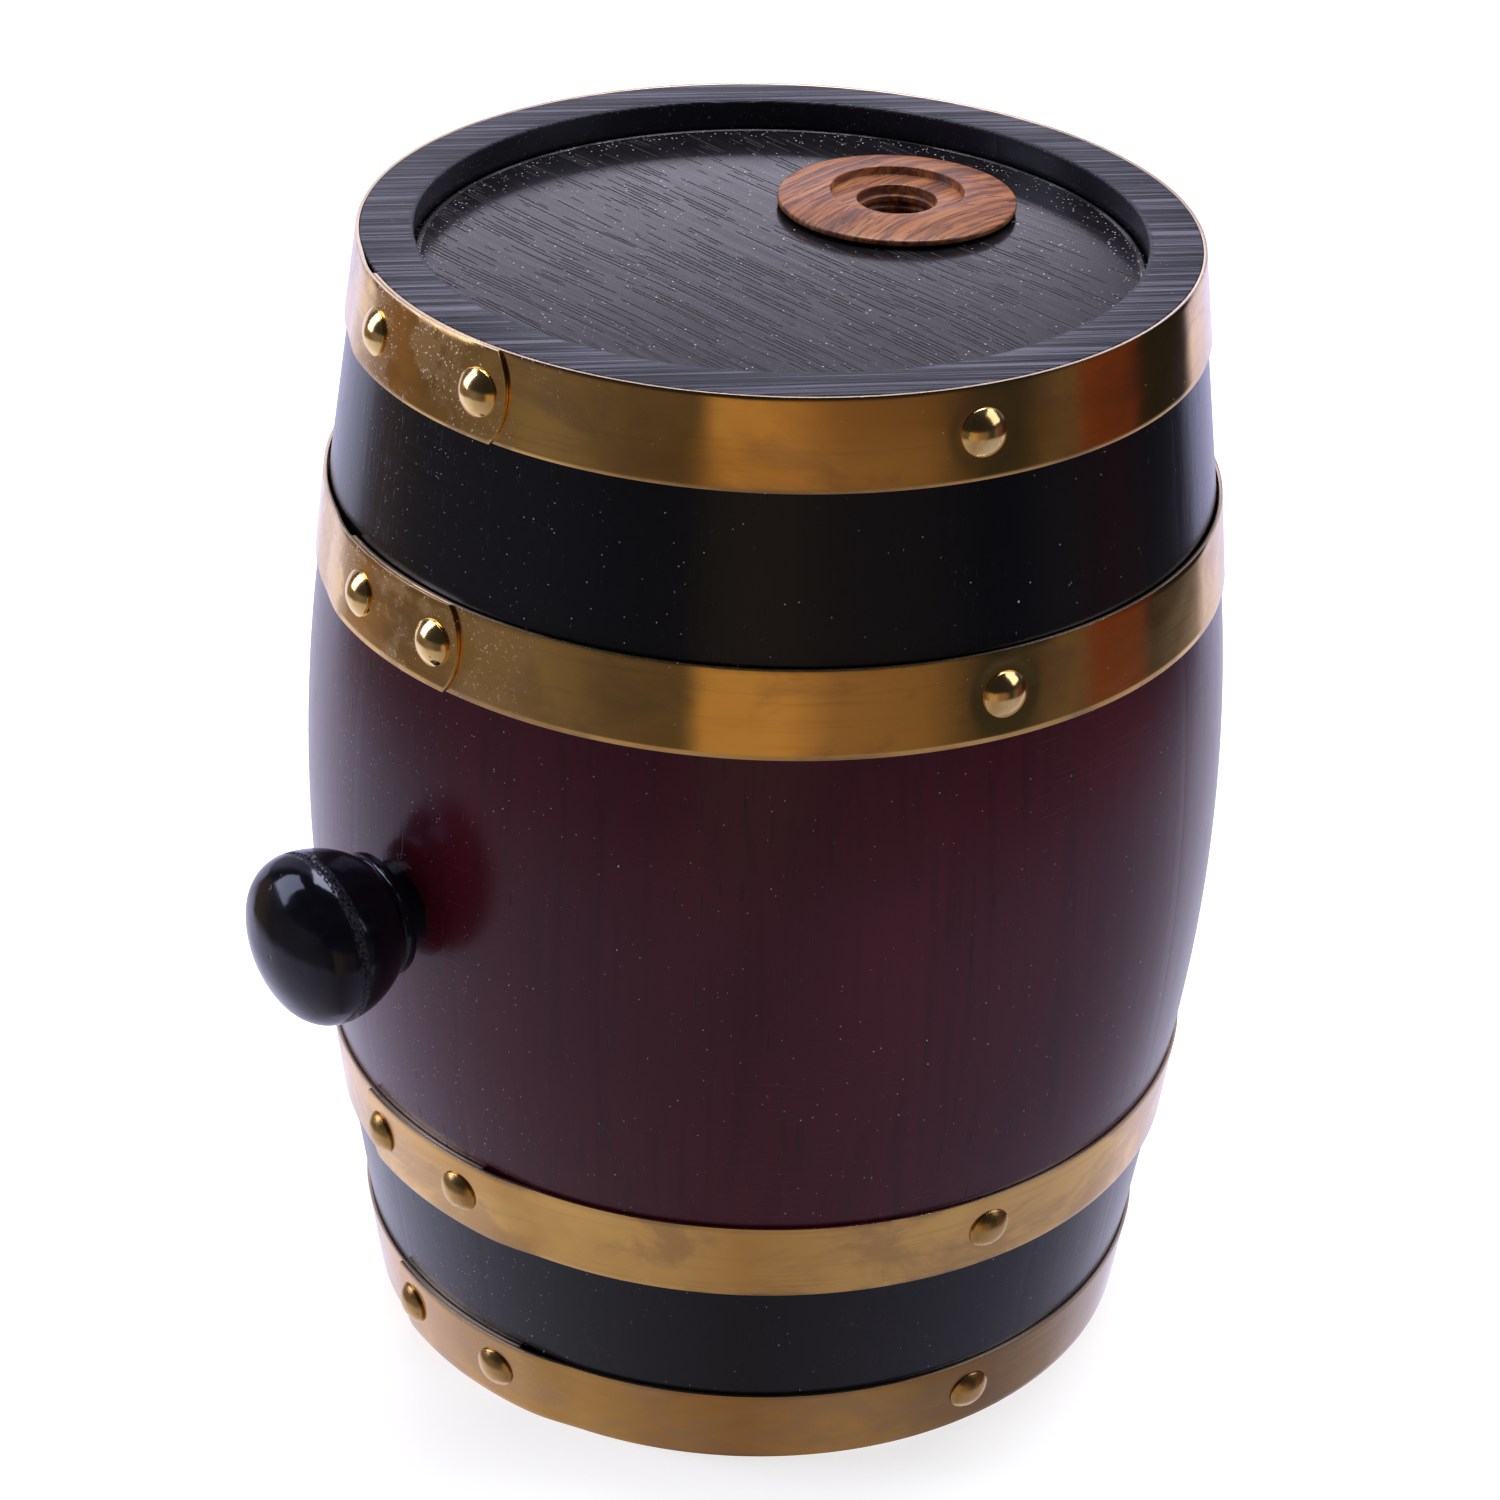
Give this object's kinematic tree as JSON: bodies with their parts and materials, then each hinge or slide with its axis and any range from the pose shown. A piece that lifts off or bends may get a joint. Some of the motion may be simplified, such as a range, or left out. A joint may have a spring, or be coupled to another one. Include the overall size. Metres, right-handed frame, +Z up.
{
  "type": "oak wine barrel",
  "caption": "Small coopered oak barrel with bent staves, riveted brass hoops, boarded heads, a wooden tap bush and a turned bung that pulls out.",
  "frame": {"origin": "middle of the foot, on the barrel's axis, in the plane that it stands on", "axes": "+Z up the barrel's axis to the rim round the tap bush, -Y out of the belly along the bung"},
  "size_m": [0.2106, 0.2439, 0.265],
  "materials": {
    "stained_oak": "satin stain",
    "black_head": "satin stain",
    "hoop_brass": "rolled, lightly tarnished",
    "rivet_brass": "polished",
    "rosewood": "fine turned, oiled",
    "black_lacquer": "gloss lacquer",
    "dowel_wood": "bare"
  },
  "bodies": {
    "barrel": {"bottom_belly_hoop": "hoop_brass", "bottom_belly_hoop_rivets": "rivet_brass", "bottom_belly_hoop_tacks": "rivet_brass", "bottom_head_back": "black_head", "bottom_head_dowels": "dowel_wood", "bottom_head_front": "black_head", "bottom_head_middle": "black_head", "bottom_rim_hoop": "hoop_brass", "bottom_rim_hoop_rivets": "rivet_brass", "bottom_rim_hoop_tacks": "rivet_brass", "stave_01": "stained_oak", "stave_02": "stained_oak", "stave_03": "stained_oak", "stave_04": "stained_oak", "stave_05": "stained_oak", "stave_06": "stained_oak", "stave_07": "stained_oak", "stave_08": "stained_oak", "stave_09": "stained_oak", "stave_10": "stained_oak", "stave_11": "stained_oak", "stave_12": "stained_oak", "stave_13": "stained_oak", "stave_14": "stained_oak", "stave_15": "stained_oak", "stave_16": "stained_oak", "stave_17": "stained_oak", "stave_18": "stained_oak", "tap_bush": "rosewood", "top_belly_hoop": "hoop_brass", "top_belly_hoop_rivets": "rivet_brass", "top_belly_hoop_tacks": "rivet_brass", "top_head_back": "black_head", "top_head_dowels": "dowel_wood", "top_head_front": "black_head", "top_head_middle": "black_head", "top_rim_hoop": "hoop_brass", "top_rim_hoop_rivets": "rivet_brass", "top_rim_hoop_tacks": "rivet_brass"},
    "bung": {"bung": "black_lacquer"}
  },
  "joints": [
    {"name": "bung_pull", "type": "slide", "parent": "barrel", "child": "bung", "axis": [0, -1, 0], "range_m": [0, 0.06]}
  ]
}
